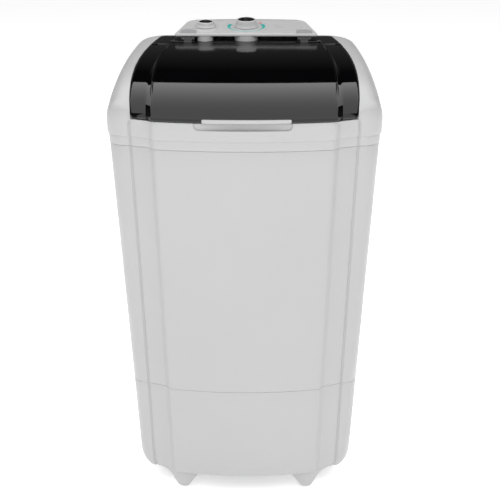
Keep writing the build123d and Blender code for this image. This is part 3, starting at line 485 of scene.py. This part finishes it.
def lid_side(y):
    """Half width of the lid at depth y."""
    start = LID_BACK - LID_CORNER
    if y <= start:
        return lid_curve(y)
    deep = min(y - start, LID_CORNER)
    return lid_curve(start) - LID_CORNER + math.sqrt(LID_CORNER ** 2 - deep ** 2)


def rib(y):
    """Half width of the lid's raised middle at depth y: its edge runs beside the lid's."""
    return lid_curve(y) - RIB_INSET


BEAD, BEAD_HIGH = 5.0, 1.6
SLOPE_REAR, SLOPE_FRONT = 3.5, 12.0
LIP_HIGH, LIP_OUT = 9.0, 1.3
BAND_ROUND = 9.0


def sheet_row(u, lengths, lip):
    """One crosswise row of the smoked sheet: side band, channel, bead, raised middle and mirror."""
    mid_from, mid_to, band_from, band_to = lengths
    mid_length = mid_from + (mid_to - mid_from) * u
    rib_x = rib(MIDDLE.point(RIB_SAMPLE_X, mid_length)[1])
    out = 0.0
    if lip:
        rise = MIDDLE.point(0, mid_length)[2] - Z_RIM
        out = LIP_OUT * float(np.clip((LIP_HIGH + 0.7 - rise) / 0.7, 0, 1))
    half = []
    for k in np.linspace(0, 1, 15):
        half.append(MIDDLE.point((rib_x - BEAD) * k, mid_length, out))
    for k in (0.2, 0.4, 0.6, 0.8, 1.0):
        x, y, z = MIDDLE.point(rib_x - BEAD * (1 - k), mid_length, out)
        half.append((x, y, z + BEAD_HIGH * math.sin(math.pi * k) * min(1.0, (z - Z_RIM) / 30)))
    band_length = band_from + (band_to - band_from) * u
    edge = np.array(half[-1])
    forward = float(np.clip(-edge[1] / 290, 0, 1))
    x_low = rib_x + SLOPE_REAR + (SLOPE_FRONT - SLOPE_REAR) * forward ** 2
    low = np.array(BAND.point(x_low, band_length))
    half += [tuple(edge + (low - edge) * k) for k in (0.12, 0.5, 0.88, 1.0)]
    above = max(low[2] - Z_RIM, 0)
    inward = BAND_ROUND - math.sqrt(BAND_ROUND ** 2 - max(BAND_ROUND - above, 0) ** 2) if lip else 0.0
    x_out = lid_side(low[1]) - inward
    for k in np.linspace(0, 1, 9)[1:]:
        half.append(BAND.point(x_low + (x_out - x_low) * k, band_length))
    left = [(-x, y, z) for x, y, z in half[1:]][::-1]
    return left + half


def sheet(y_low, y_high, rows, lip):
    """The smoked sheet between two depths; the front piece starts with a lip."""
    if lip:
        steps = np.array([1.0, 1.5, 5.0, 8.6, 9.1, 9.6, 10.2, 13.0])
        mid_from, band_from = steps[0], steps[0]
    else:
        mid_from, band_from = MIDDLE.reach(0, y_low), BAND.reach(rib(y_low), y_low)
    mid_to, band_to = MIDDLE.reach(0, y_high), BAND.reach(rib(y_high), y_high)
    us = np.linspace(0, 1, rows)
    if lip:
        first = (steps - mid_from) / (mid_to - mid_from)
        us = np.concatenate((first, np.linspace(first[-1], 1, rows)[1:]))
    lengths = (mid_from, mid_to, band_from, band_to)
    return [sheet_row(u, lengths, lip) for u in us]


def straightened(rows, y_edge, last):
    """The sheet's first or last row drawn onto a straight crosswise line."""
    row = rows[-1] if last else rows[0]
    flat = [(x, y_edge, (MIDDLE if abs(x) <= rib(y_edge) + 0.1 else BAND).height(x, y_edge))
            for x, _, _ in row]
    rows[-1 if last else 0] = flat
    return rows


def lid():
    rows = straightened(sheet(None, LID_SPLIT - 0.6, 46, True), LID_SPLIT - 0.6, True)
    return piece("lid_sheet", grid(rows), "lid", "smoked_lid", ["lid"], sharp=28, closed=False,
                 thick=LID_SKIN)


BARREL_RADIUS, BARREL_HALF, BARREL_BEVEL, BARREL_END = 3.9, 9.0, 0.6, 0.86
BARREL_INSET = 15.5


def hinge_barrels():
    """Barrels on the hinge line, with webs down to the sheet."""
    hinge = next(j for j in frame["joints"] if j["name"] == "lid_hinge")
    y, z = (c / MM for c in hinge["pos_m"][1:])
    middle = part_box("hinge_brackets")[1][0] / MM - BARREL_INSET
    turns = np.radians(np.arange(-80, 170, 15))
    straight = BARREL_HALF - BARREL_BEVEL
    rings = []
    for s in (-1, 1):
        section = [(y + BARREL_RADIUS * math.cos(a), z + BARREL_RADIUS * math.sin(a)) for a in turns]
        section += [(LID_SPLIT - 7, EDGE_TOP + 4), (LID_SPLIT - 1, EDGE_TOP + 3.5)]
        ends = [(s * middle + d, k) for d, k in ((-BARREL_HALF, BARREL_END), (-straight, 1), (straight, 1),
                                                 (BARREL_HALF, BARREL_END))]
        rings.append(loft([[(ex, y + (p - y) * k, z + (q - z) * k) for p, q in section] for ex, k in ends],
                          cap_first=True, cap_last=True))
    return piece("hinge_barrels", joined(*rings), "lid", "smoked_lid")


def rear_panel():
    rows = straightened(sheet(LID_SPLIT + 0.6, LID_BACK - 0.5, 26, False), LID_SPLIT + 0.6, False)
    rows = [[(x, min(y, LID_BACK - 0.4), z) for x, y, z in row] for row in rows]
    return piece("rear_sheet", grid(rows), "machine", "smoked_lid", ["lid_rear_panel"], sharp=28,
                 closed=False, thick=LID_SKIN)


HANDLE_X, HANDLE_Z, HANDLE_OUT = (-85.0, 95.0), (876.0, 883.5), 5.5


def handle():
    """Curved bar with rounded edges along the lid's lip."""
    (z0, z1), near, far = HANDLE_Z, MID_RADIUS + 0.4, MID_RADIUS + HANDLE_OUT
    section = [(near, z0 + 1), (near + 1, z0), (far - 1.6, z0), (far - 0.4, z0 + 0.6), (far, z0 + 1.8),
               (far, z1 - 1.8), (far - 0.4, z1 - 0.6), (far - 1.6, z1), (near + 1, z1), (near, z1 - 1)]
    middle = np.array(((near + far) / 2, (z0 + z1) / 2))
    rings = []
    ends = [(0.0, 0.7), (0.5, 0.88), (1.6, 1.0)]
    stops = [(HANDLE_X[0] + d, k) for d, k in ends]
    stops += [(x, 1.0) for x in np.linspace(HANDLE_X[0] + 8, HANDLE_X[1] - 8, 20)]
    stops += [(HANDLE_X[1] - d, k) for d, k in ends[::-1]]
    for x, k in stops:
        spots = middle + (np.array(section) - middle) * k
        rings.append([(x, TURN_Y - math.sqrt(r * r - x * x), z) for r, z in spots])
    return piece("handle_bar", loft(rings, cap_first=True, cap_last=True), "lid", "frame_grey",
                 ["lid_handle"], sharp=50)


# ---- Top frame ------------------------------------------------------------------------------
LID_GAP = 1.5


def lid_front(x):
    """Depth of the lid's front edge at x."""
    step = float(np.clip((abs(x) - rib(LID_Y[0])) / SLOPE_FRONT, 0, 1))
    radius = mix((MID_RADIUS, EDGE_RADIUS), step)
    return TURN_Y - math.sqrt(radius * radius - x * x)


def frame_edge():
    """The lid opening's edge, point for point beside the body's plan, as a closed ring."""
    face = body_half(Z_SEAM, SHOULDER_OUT, FRAME_OUT + 1.6)[0]
    reach = LID_X[0] / face[-1][0]
    half = [(x * reach, lid_front(x * reach), Z_RIM) for x, y in face]
    y_corner = lid_front(LID_X[0])
    y_rear = LID_BACK - LID_CORNER
    for k in np.linspace(0, 1, CORNER_COUNT + 1)[1:]:
        y = y_corner + 22 * k
        half.append((lid_side(y) + LID_GAP * k, y, BAND.height(lid_side(y), y)))
    for k in np.linspace(0, 1, SIDE_COUNT + 2)[1:-1]:
        y = mix((y_corner + 22, y_rear), k)
        half.append((lid_side(y) + LID_GAP, y, BAND.height(lid_side(y), y)))
    x_centre, r = lid_side(y_rear) - LID_CORNER, LID_CORNER + LID_GAP
    for a in np.linspace(0, math.pi / 2, REAR_COUNT):
        x, y = x_centre + r * math.cos(a), y_rear + r * math.sin(a)
        half.append((x, y, BAND.height(x, y)))
    half += [(half[-1][0] / 2, LID_BACK + LID_GAP, EDGE_TOP), (0, LID_BACK + LID_GAP, EDGE_TOP)]
    left = [(-x, y, z) for x, y, z in half[1:-1]][::-1]
    return half + left


def shoulder_rings(outer, edge, count=16):
    """Rounded surface from the frame's widest line up and over to the lid's edge."""
    rings = []
    for a in np.linspace(0, math.pi / 2, count + 1)[1:]:
        ring = []
        for (x0, y0, z0), (x1, y1, z1) in zip(outer, edge):
            run = math.hypot(x1 - x0, y1 - y0)
            power = 2 / float(np.interp(run, (6, 25, 55), (2.0, 2.35, 2.75)))
            across, up = 1 - math.cos(a) ** power, math.sin(a) ** power
            if a == math.pi / 2:
                across, up = 1.0, 1.0
            ring.append((x0 + (x1 - x0) * across, y0 + (y1 - y0) * across, z0 + (z1 - z0) * up))
        rings.append(ring)
    return rings


def drawn_in(edge, inset, drop, front_drop):
    """The opening's edge moved inwards and lowered; the front drops by its own amount."""
    ring = []
    for x, y, z in edge:
        centre = np.array((0.0, -30.0))
        away = np.array((x, y)) - centre
        x1, y1 = centre + away * (1 - inset / np.linalg.norm(away))
        ring.append((x1, y1, z - (front_drop if z <= Z_RIM + 0.01 else drop)))
    return ring


RECESS_X, RECESS_Z = (-102.0, 97.0), (860.0, 880.0)


def finger_scoop():
    """Cutter for the scoop under the handle: a box with large lower corners, wider at its mouth."""
    (x0, x1), (z0, z1) = RECESS_X, RECESS_Z
    outline = soften([(x0 - 3, z1), (x0, z0), (x1, z0), (x1 + 3, z1)], (0, 11, 8, 0), 8)
    rings = []
    for y, grow in ((-310, 2.0), (-298.4, 1.0), (-296.5, 0.0), (-290, -1.0), (-288, -3.0)):
        rings.append([(x + grow * (1 if x > 0 else -1), y, z - grow * 0.5) for x, z in outline])
    return loft(rings, cap_first=True, cap_last=True)


def top_frame():
    """Shouldered ring between the cabinet and the lid, with a small step and a finger scoop."""
    z0 = Z_SEAM + 0.4
    rings = [body_ring(Z_SEAM, FRAME_OUT + inset, at=z) for z, inset in edge_steps(z0, -1)[::-1]]
    for z, side, ahead in ((825, 0.2, 0.0), (832, 0.3, 0.0), (836.6, 0.4, 0.0), (Z_LEDGE, 1.2, 0.3),
                           (837.5, 2.8, 1.0), (838.4, 3.2, 1.2), (850, 3.6, 1.4)):
        rings.append(body_ring(Z_SEAM, FRAME_OUT + side, FRAME_OUT + ahead, at=z))
    outer = body_ring(Z_SEAM, SHOULDER_OUT, FRAME_OUT + 1.6, at=Z_WIDEST)
    edge = frame_edge()
    rings += [outer] + shoulder_rings(outer, edge)
    rings.append(drawn_in(edge, 0.4, 0.8, 0.4))
    rings.append(drawn_in(edge, 0.5, 5.5, 0.8))
    rings.append(drawn_in(edge, 10.0, 6.0, 1.0))
    rings.append([(x, y, Z_TUB_RIM + 1) for x, y, z in drawn_in(edge, 10.5, 0, 0)])
    rings.append([(x, y, Z_TUB_RIM - 2) for x, y, z in drawn_in(edge, 9.0, 0, 0)])
    rings.append(body_ring(Z_SEAM, -WALL, at=Z_SEAM + 8, groove=0.3))
    rings.append(body_ring(Z_SEAM, -WALL, at=z0, groove=0.3))
    shell = piece("top_frame_shell", loft(rings, loop=True), "machine", "frame_grey", ["top_frame"])
    cut_away(shell, finger_scoop())
    return shell


# ---- Console --------------------------------------------------------------------------------
CONSOLE_Y, CONSOLE_HALF, CONSOLE_Z, Z_LIP = (130.0, 262.0), (166.0, 138.0), 982.5, 976.5
KNOB_Y, SELECTOR_X = 190.0, -95.0
TILT = math.radians(6.0)
RISE = math.tan(TILT)
KNOB_Z = CONSOLE_Z + (KNOB_Y - CONSOLE_Y[0]) * RISE


def on_panel(x, y, up):
    """Point of the console's tilted plane, y measured back from the knobs' line, raised by up."""
    return (x, KNOB_Y + y * math.cos(TILT) - up * math.sin(TILT),
            KNOB_Z + y * math.sin(TILT) + up * math.cos(TILT))


def panel_top(y):
    return CONSOLE_Z + (y - CONSOLE_Y[0]) * RISE


def console_plan(inset=0.0):
    """Trapezoid with rounded corners and a slightly bowed rear edge, as a closed plan."""
    (y0, y1), (front, rear) = CONSOLE_Y, CONSOLE_HALF
    half = [(front * k / 8, y0) for k in range(8)]
    half += [(front, y0), (rear, y1 - 9)]
    back = [(rear * k, y1 - 9 * k * k) for k in (0.9, 0.75, 0.5, 0.25, 0)]
    path = soften(half + back, [0] * 8 + [7, 22] + [0] * 5, 6)
    plan = mirrored(path)
    centre = np.array((0, (y0 + y1) / 2))
    result = []
    for p in plan:
        away = p - centre
        result.append(centre + away - inset * np.array((np.sign(away[0]) * min(abs(away[0]) / 40, 1),
                                                        np.sign(away[1]) * min(abs(away[1]) / 30, 1))))
    return result


def control_panel():
    """Overhanging console: a rounded lip, a tilted top and a hollow underside."""
    rings = []

    def foot_of(y, lift=0.0):
        return (Z_LIP if y < 229 else 963.0) + lift

    for inset, lift in ((0.9, 0.0), (0.25, 0.5), (0, 1.4)):
        rings.append([(x, y, foot_of(y, lift)) for x, y in console_plan(inset)])
    for inset, drop in ((0.4, 2.6), (0.7, 1.6), (1.3, 0.8), (2.4, 0.2), (3.6, 0.0)):
        rings.append([(x, y, panel_top(y) - drop) for x, y in console_plan(inset)])
    top = loft(rings, cap_last=True)
    under = [[(x, y, foot_of(y)) for x, y in console_plan(0.9)],
             [(x, y, foot_of(y)) for x, y in console_plan(3.4)],
             [(x, y, panel_top(y) - 3.5) for x, y in console_plan(4.6)]]
    hollow = loft(under, cap_last=True)
    return piece("console_shell", joined(top, hollow), "machine", "console_grey", ["control_panel"],
                 closed=False, sharp=50)


def flat_shape(outline, low, high, bevel=0.3):
    """A thin shape lying on the panel, its top edge bevelled inwards."""
    centre = np.mean(np.array(outline), axis=0)
    rings = []
    for up, shrink in ((low, 0), (high - bevel, 0), (high, bevel)):
        ring = []
        for p in outline:
            away = np.array(p) - centre
            x, y = centre + away * (1 - shrink / max(np.linalg.norm(away), 1))
            ring.append(on_panel(x, y, up))
        rings.append(ring)
    return loft(rings, cap_first=True, cap_last=True)


def hinge_covers():
    """Door-shaped grey patches at the console's front corners."""
    shapes = []
    for s in (-1, 1):
        centre = s * 134.0
        arch = [(centre + 19 * math.cos(a), -38 + 14 * math.sin(a)) for a in np.linspace(0, math.pi, 15)]
        shapes.append(flat_shape([(centre - 19, -57), (centre + 19, -57)] + arch, -0.5, 0.8, 0.6))
    return piece("hinge_cover_patches", joined(*shapes), "machine", "grey_patch", ["hinge_covers"])


def overlay():
    """Printed skin between the hinge covers."""
    outline = [(-108, -50), (108, -50), (112, -20), (143, -14), (130, 50), (60, 58), (-60, 58), (-130, 50),
               (-143, -14), (-112, -20)]
    closed = outline + outline[:2]
    path = soften(closed, [0] + [5] * 10 + [0], 4)[1:-1]
    return piece("overlay_skin", flat_shape(path, 0.0, 0.45, 0.2), "machine", "overlay_print",
                 ["panel_overlay"])


def bar_mark(x, y, angle, long, wide, up=0.45):
    """A short printed line."""
    c, s = math.cos(angle), math.sin(angle)
    corners = [(-long / 2, -wide / 2), (long / 2, -wide / 2), (long / 2, wide / 2), (-long / 2, wide / 2)]
    return flat_shape([(x + c * u - s * v, y + s * u + c * v) for u, v in corners], up - 0.1, up + 0.12, 0.02)


def printed_marks():
    """Plain scale marks round both knobs, with no lettering."""
    shapes = []
    for a in np.radians(np.arange(-210, 31, 20)):
        shapes.append(bar_mark(53 * math.cos(a), 53 * math.sin(a), a, 5, 0.9))
    for a in np.radians((-30, 30, 90, 150, 210)):
        shapes.append(bar_mark(SELECTOR_X + 30 * math.cos(a), 30 * math.sin(a), a, 4, 0.9))
    for y, long in ((-6, 26), (4, 18), (14, 26)):
        shapes.append(bar_mark(76, y, 0, long, 0.7))
    return piece("scale_marks", joined(*shapes), "machine", "grey_patch")


RING_R = 42.0


def dial_ring():
    """Coloured scale: thin at the front, swelling to thick ends."""
    turns = np.radians(np.linspace(-208, 28, 73))
    rings = []
    for a in turns:
        from_front = abs(math.degrees(a) + 90)
        wide = float(np.interp(from_front, (0, 55, 78, 112, 118), (2.0, 2.4, 5.0, 9.5, 8.0)))
        inner, outer = RING_R - wide * 0.62, RING_R + min(wide * 0.38, 2.9)
        c, s = math.cos(a), math.sin(a)
        section = [(inner, 0.4), (inner, 0.75), (inner + 0.3, 0.88), (outer - 0.3, 0.88), (outer, 0.75),
                   (outer, 0.4)]
        rings.append([on_panel(r * c, r * s, up) for r, up in section])
    return piece("dial_scale", loft(rings, cap_first=True, cap_last=True), "machine", "dial_teal",
                 ["dial_ring"])


def knob(name, body, x, profile, flutes, depth, node):
    """Fluted knob: a lathed profile whose side is scalloped."""
    count = flutes * 8
    rings = []
    for r, up, scallop in profile:
        ring = []
        for i in range(count):
            a = 2 * math.pi * i / count
            rr = r - depth * scallop * abs(math.sin(a * flutes / 2)) ** 3
            ring.append(on_panel(x + rr * math.cos(a), rr * math.sin(a), up))
        rings.append(ring)
    return piece(name, loft(rings, cap_first=True, cap_last=True), body, "knob_grey", [node], sharp=60)


def knob_profile(base, top, tall):
    """Skirt, scalloped side, rounded shoulder and a shallow well for the cap."""
    return [(base - 1, 0.9, 0), (base, 1.3, 0), (base, 2.6, 0), (base - 0.7, 3.1, 0), (base - 1.2, 3.4, 0.6),
            (mix((base, top), 0.6), tall * 0.6, 1), (top + 0.3, tall - 1.2, 0.8), (top - 0.2,
                                                                                   tall + 0.2, 0.4),
            (top - 1.2, tall + 1.0, 0.1), (top - 2.6, tall + 1.0, 0), (top - 3.4, tall + 0.2, 0),
            (top - 3.5, tall - 0.8, 0)]


def cap(name, body, x, r, tall, node):
    """Bright dished disc with a finger bar that tapers at both ends."""
    profile = [(r - 0.3, tall - 1.0), (r, tall - 0.6), (r, tall + 0.3), (r - 0.6, tall + 0.7),
               (r - 2.4, tall + 0.4), (r * 0.6, tall - 0.1), (r * 0.25, tall - 0.3)]
    turns = np.linspace(0, 2 * math.pi, 65)[:-1]
    disc = loft([[on_panel(x + rr * math.cos(a), rr * math.sin(a), up) for a in turns] for rr, up in profile],
                cap_first=True, cap_last=True)
    rings = []
    for k in np.linspace(-1, 1, 15):
        half = 2.6 * math.sqrt(max(1 - (k * 0.96) ** 2, 0.02)) + 0.5
        top = tall + 2.4 - 0.7 * k * k
        section = [(-half, tall - 0.6), (half, tall - 0.6), (half * 0.8, top - 0.7), (half * 0.45, top),
                   (-half * 0.45, top), (-half * 0.8, top - 0.7)]
        rings.append([on_panel(x + u, k * (r - 1.2), up) for u, up in section])
    bar = loft(rings, cap_first=True, cap_last=True)
    return piece(name, joined(disc, bar), body, "knob_chrome", [node], sharp=45)


TIMER_TALL, SELECTOR_TALL = 17.0, 12.0


def knobs():
    knob("timer_dial", "timer_knob", 0.0, knob_profile(27.0, 23.0, TIMER_TALL), 24, 0.9, "timer_knob")
    cap("timer_disc", "timer_knob", 0.0, 19.3, TIMER_TALL, "timer_cap")
    knob("selector_dial", "selector_knob", SELECTOR_X, knob_profile(23.0, 19.0, SELECTOR_TALL), 20, 0.8,
         "selector_knob")
    cap("selector_disc", "selector_knob", SELECTOR_X, 15.3, SELECTOR_TALL, "selector_cap")


for make in (cabinet, base_skirt, top_frame, lid, hinge_barrels, rear_panel, handle, control_panel,
             hinge_covers, overlay, printed_marks, dial_ring, knobs):
    make()

# ---- Stage ----------------------------------------------------------------------------------


def camera():
    """Standing in front of the machine and a little to its right, looking down at it."""
    distance, height, azimuth, pitch = 2.6, 1.45, math.radians(0.6), math.radians(20.07)
    data = bpy.data.cameras.new("camera")
    data.sensor_width = 36
    data.lens = 85.2
    obj = bpy.data.objects.new("camera", data)
    obj.location = (distance * math.sin(azimuth), -distance * math.cos(azimuth), height)
    turn_right_to_left = math.radians(0.22)
    obj.rotation_euler = (math.radians(90) - pitch, 0, azimuth - turn_right_to_left)
    bpy.context.scene.collection.objects.link(obj)
    bpy.context.scene.camera = obj


def area_light(name, place, aim, size_x, size_y, radiance):
    """Rectangular softbox of even radiance."""
    data = bpy.data.lights.new(name, "AREA")
    data.shape = "RECTANGLE"
    data.size, data.size_y = size_x, size_y
    data.energy = radiance * math.pi * size_x * size_y
    obj = bpy.data.objects.new(name, data)
    obj.location = place
    obj.rotation_euler = (Vector(aim) - Vector(place)).to_track_quat("-Z", "Y").to_euler()
    obj.visible_camera = False
    bpy.context.scene.collection.objects.link(obj)
    return obj


def world():
    """White to the eye, soft grey as fill and dark in reflections."""
    w = bpy.data.worlds.new("studio")
    bpy.context.scene.world = w
    w.use_nodes = True
    tree = w.node_tree
    back = tree.nodes["Background"]
    path = tree.nodes.new("ShaderNodeLightPath")
    first = tree.nodes.new("ShaderNodeMix")
    first.data_type = "FLOAT"
    first.inputs["A"].default_value = 0.45
    place = tree.nodes.new("ShaderNodeTexCoord")
    parts = tree.nodes.new("ShaderNodeSeparateXYZ")
    fade = tree.nodes.new("ShaderNodeMapRange")
    for key, number in (("From Min", 0.12), ("From Max", 0.45), ("To Min", 0.07), ("To Max", 0.0)):
        fade.inputs[key].default_value = number
    tree.links.new(place.outputs["Generated"], parts.inputs["Vector"])
    tree.links.new(parts.outputs["Z"], fade.inputs["Value"])
    tree.links.new(fade.outputs["Result"], first.inputs["B"])
    tree.links.new(path.outputs["Is Glossy Ray"], first.inputs["Factor"])
    second = tree.nodes.new("ShaderNodeMix")
    second.data_type = "FLOAT"
    second.inputs["B"].default_value = 1.0
    tree.links.new(path.outputs["Is Camera Ray"], second.inputs["Factor"])
    tree.links.new(first.outputs["Result"], second.inputs["A"])
    tree.links.new(second.outputs["Result"], back.inputs["Strength"])
    back.inputs["Color"].default_value = (1, 1, 1, 1)


def floor():
    side = 30.0
    mesh = bpy.data.meshes.new("floor")
    corners = [(-side, -side, 0), (side, -side, 0), (side, side, 0), (-side, side, 0)]
    mesh.from_pydata([(x, y, z + FLOOR_Z - 0.0005) for x, y, z in corners], [], [(0, 1, 2, 3)])
    obj = bpy.data.objects.new("floor", mesh)
    bpy.context.scene.collection.objects.link(obj)
    m = Nodes("floor_paper")
    m.link(m.blend(m.span(m.noise(1.5), 0, 1), (0.86, 0.86, 0.86), (0.88, 0.88, 0.88)),
           m.shader.inputs["Base Color"])
    m.set(Roughness=0.9, Emission_Color=(1, 1, 1, 1), Emission_Strength=0.55)
    mesh.materials.append(m.material)


camera()
area_light("overhead_softbox", (0, -0.8, 3.0), (0, -0.8, 0), 8.0, 6.46, 1.6)
area_light("front_softbox", (0, -4.0, 1.6), (0, 0, 1.6), 5.0, 2.8, 1.3)
world()
floor()
view = bpy.context.scene.view_settings
view.view_transform = "Standard"
view.look = "None"
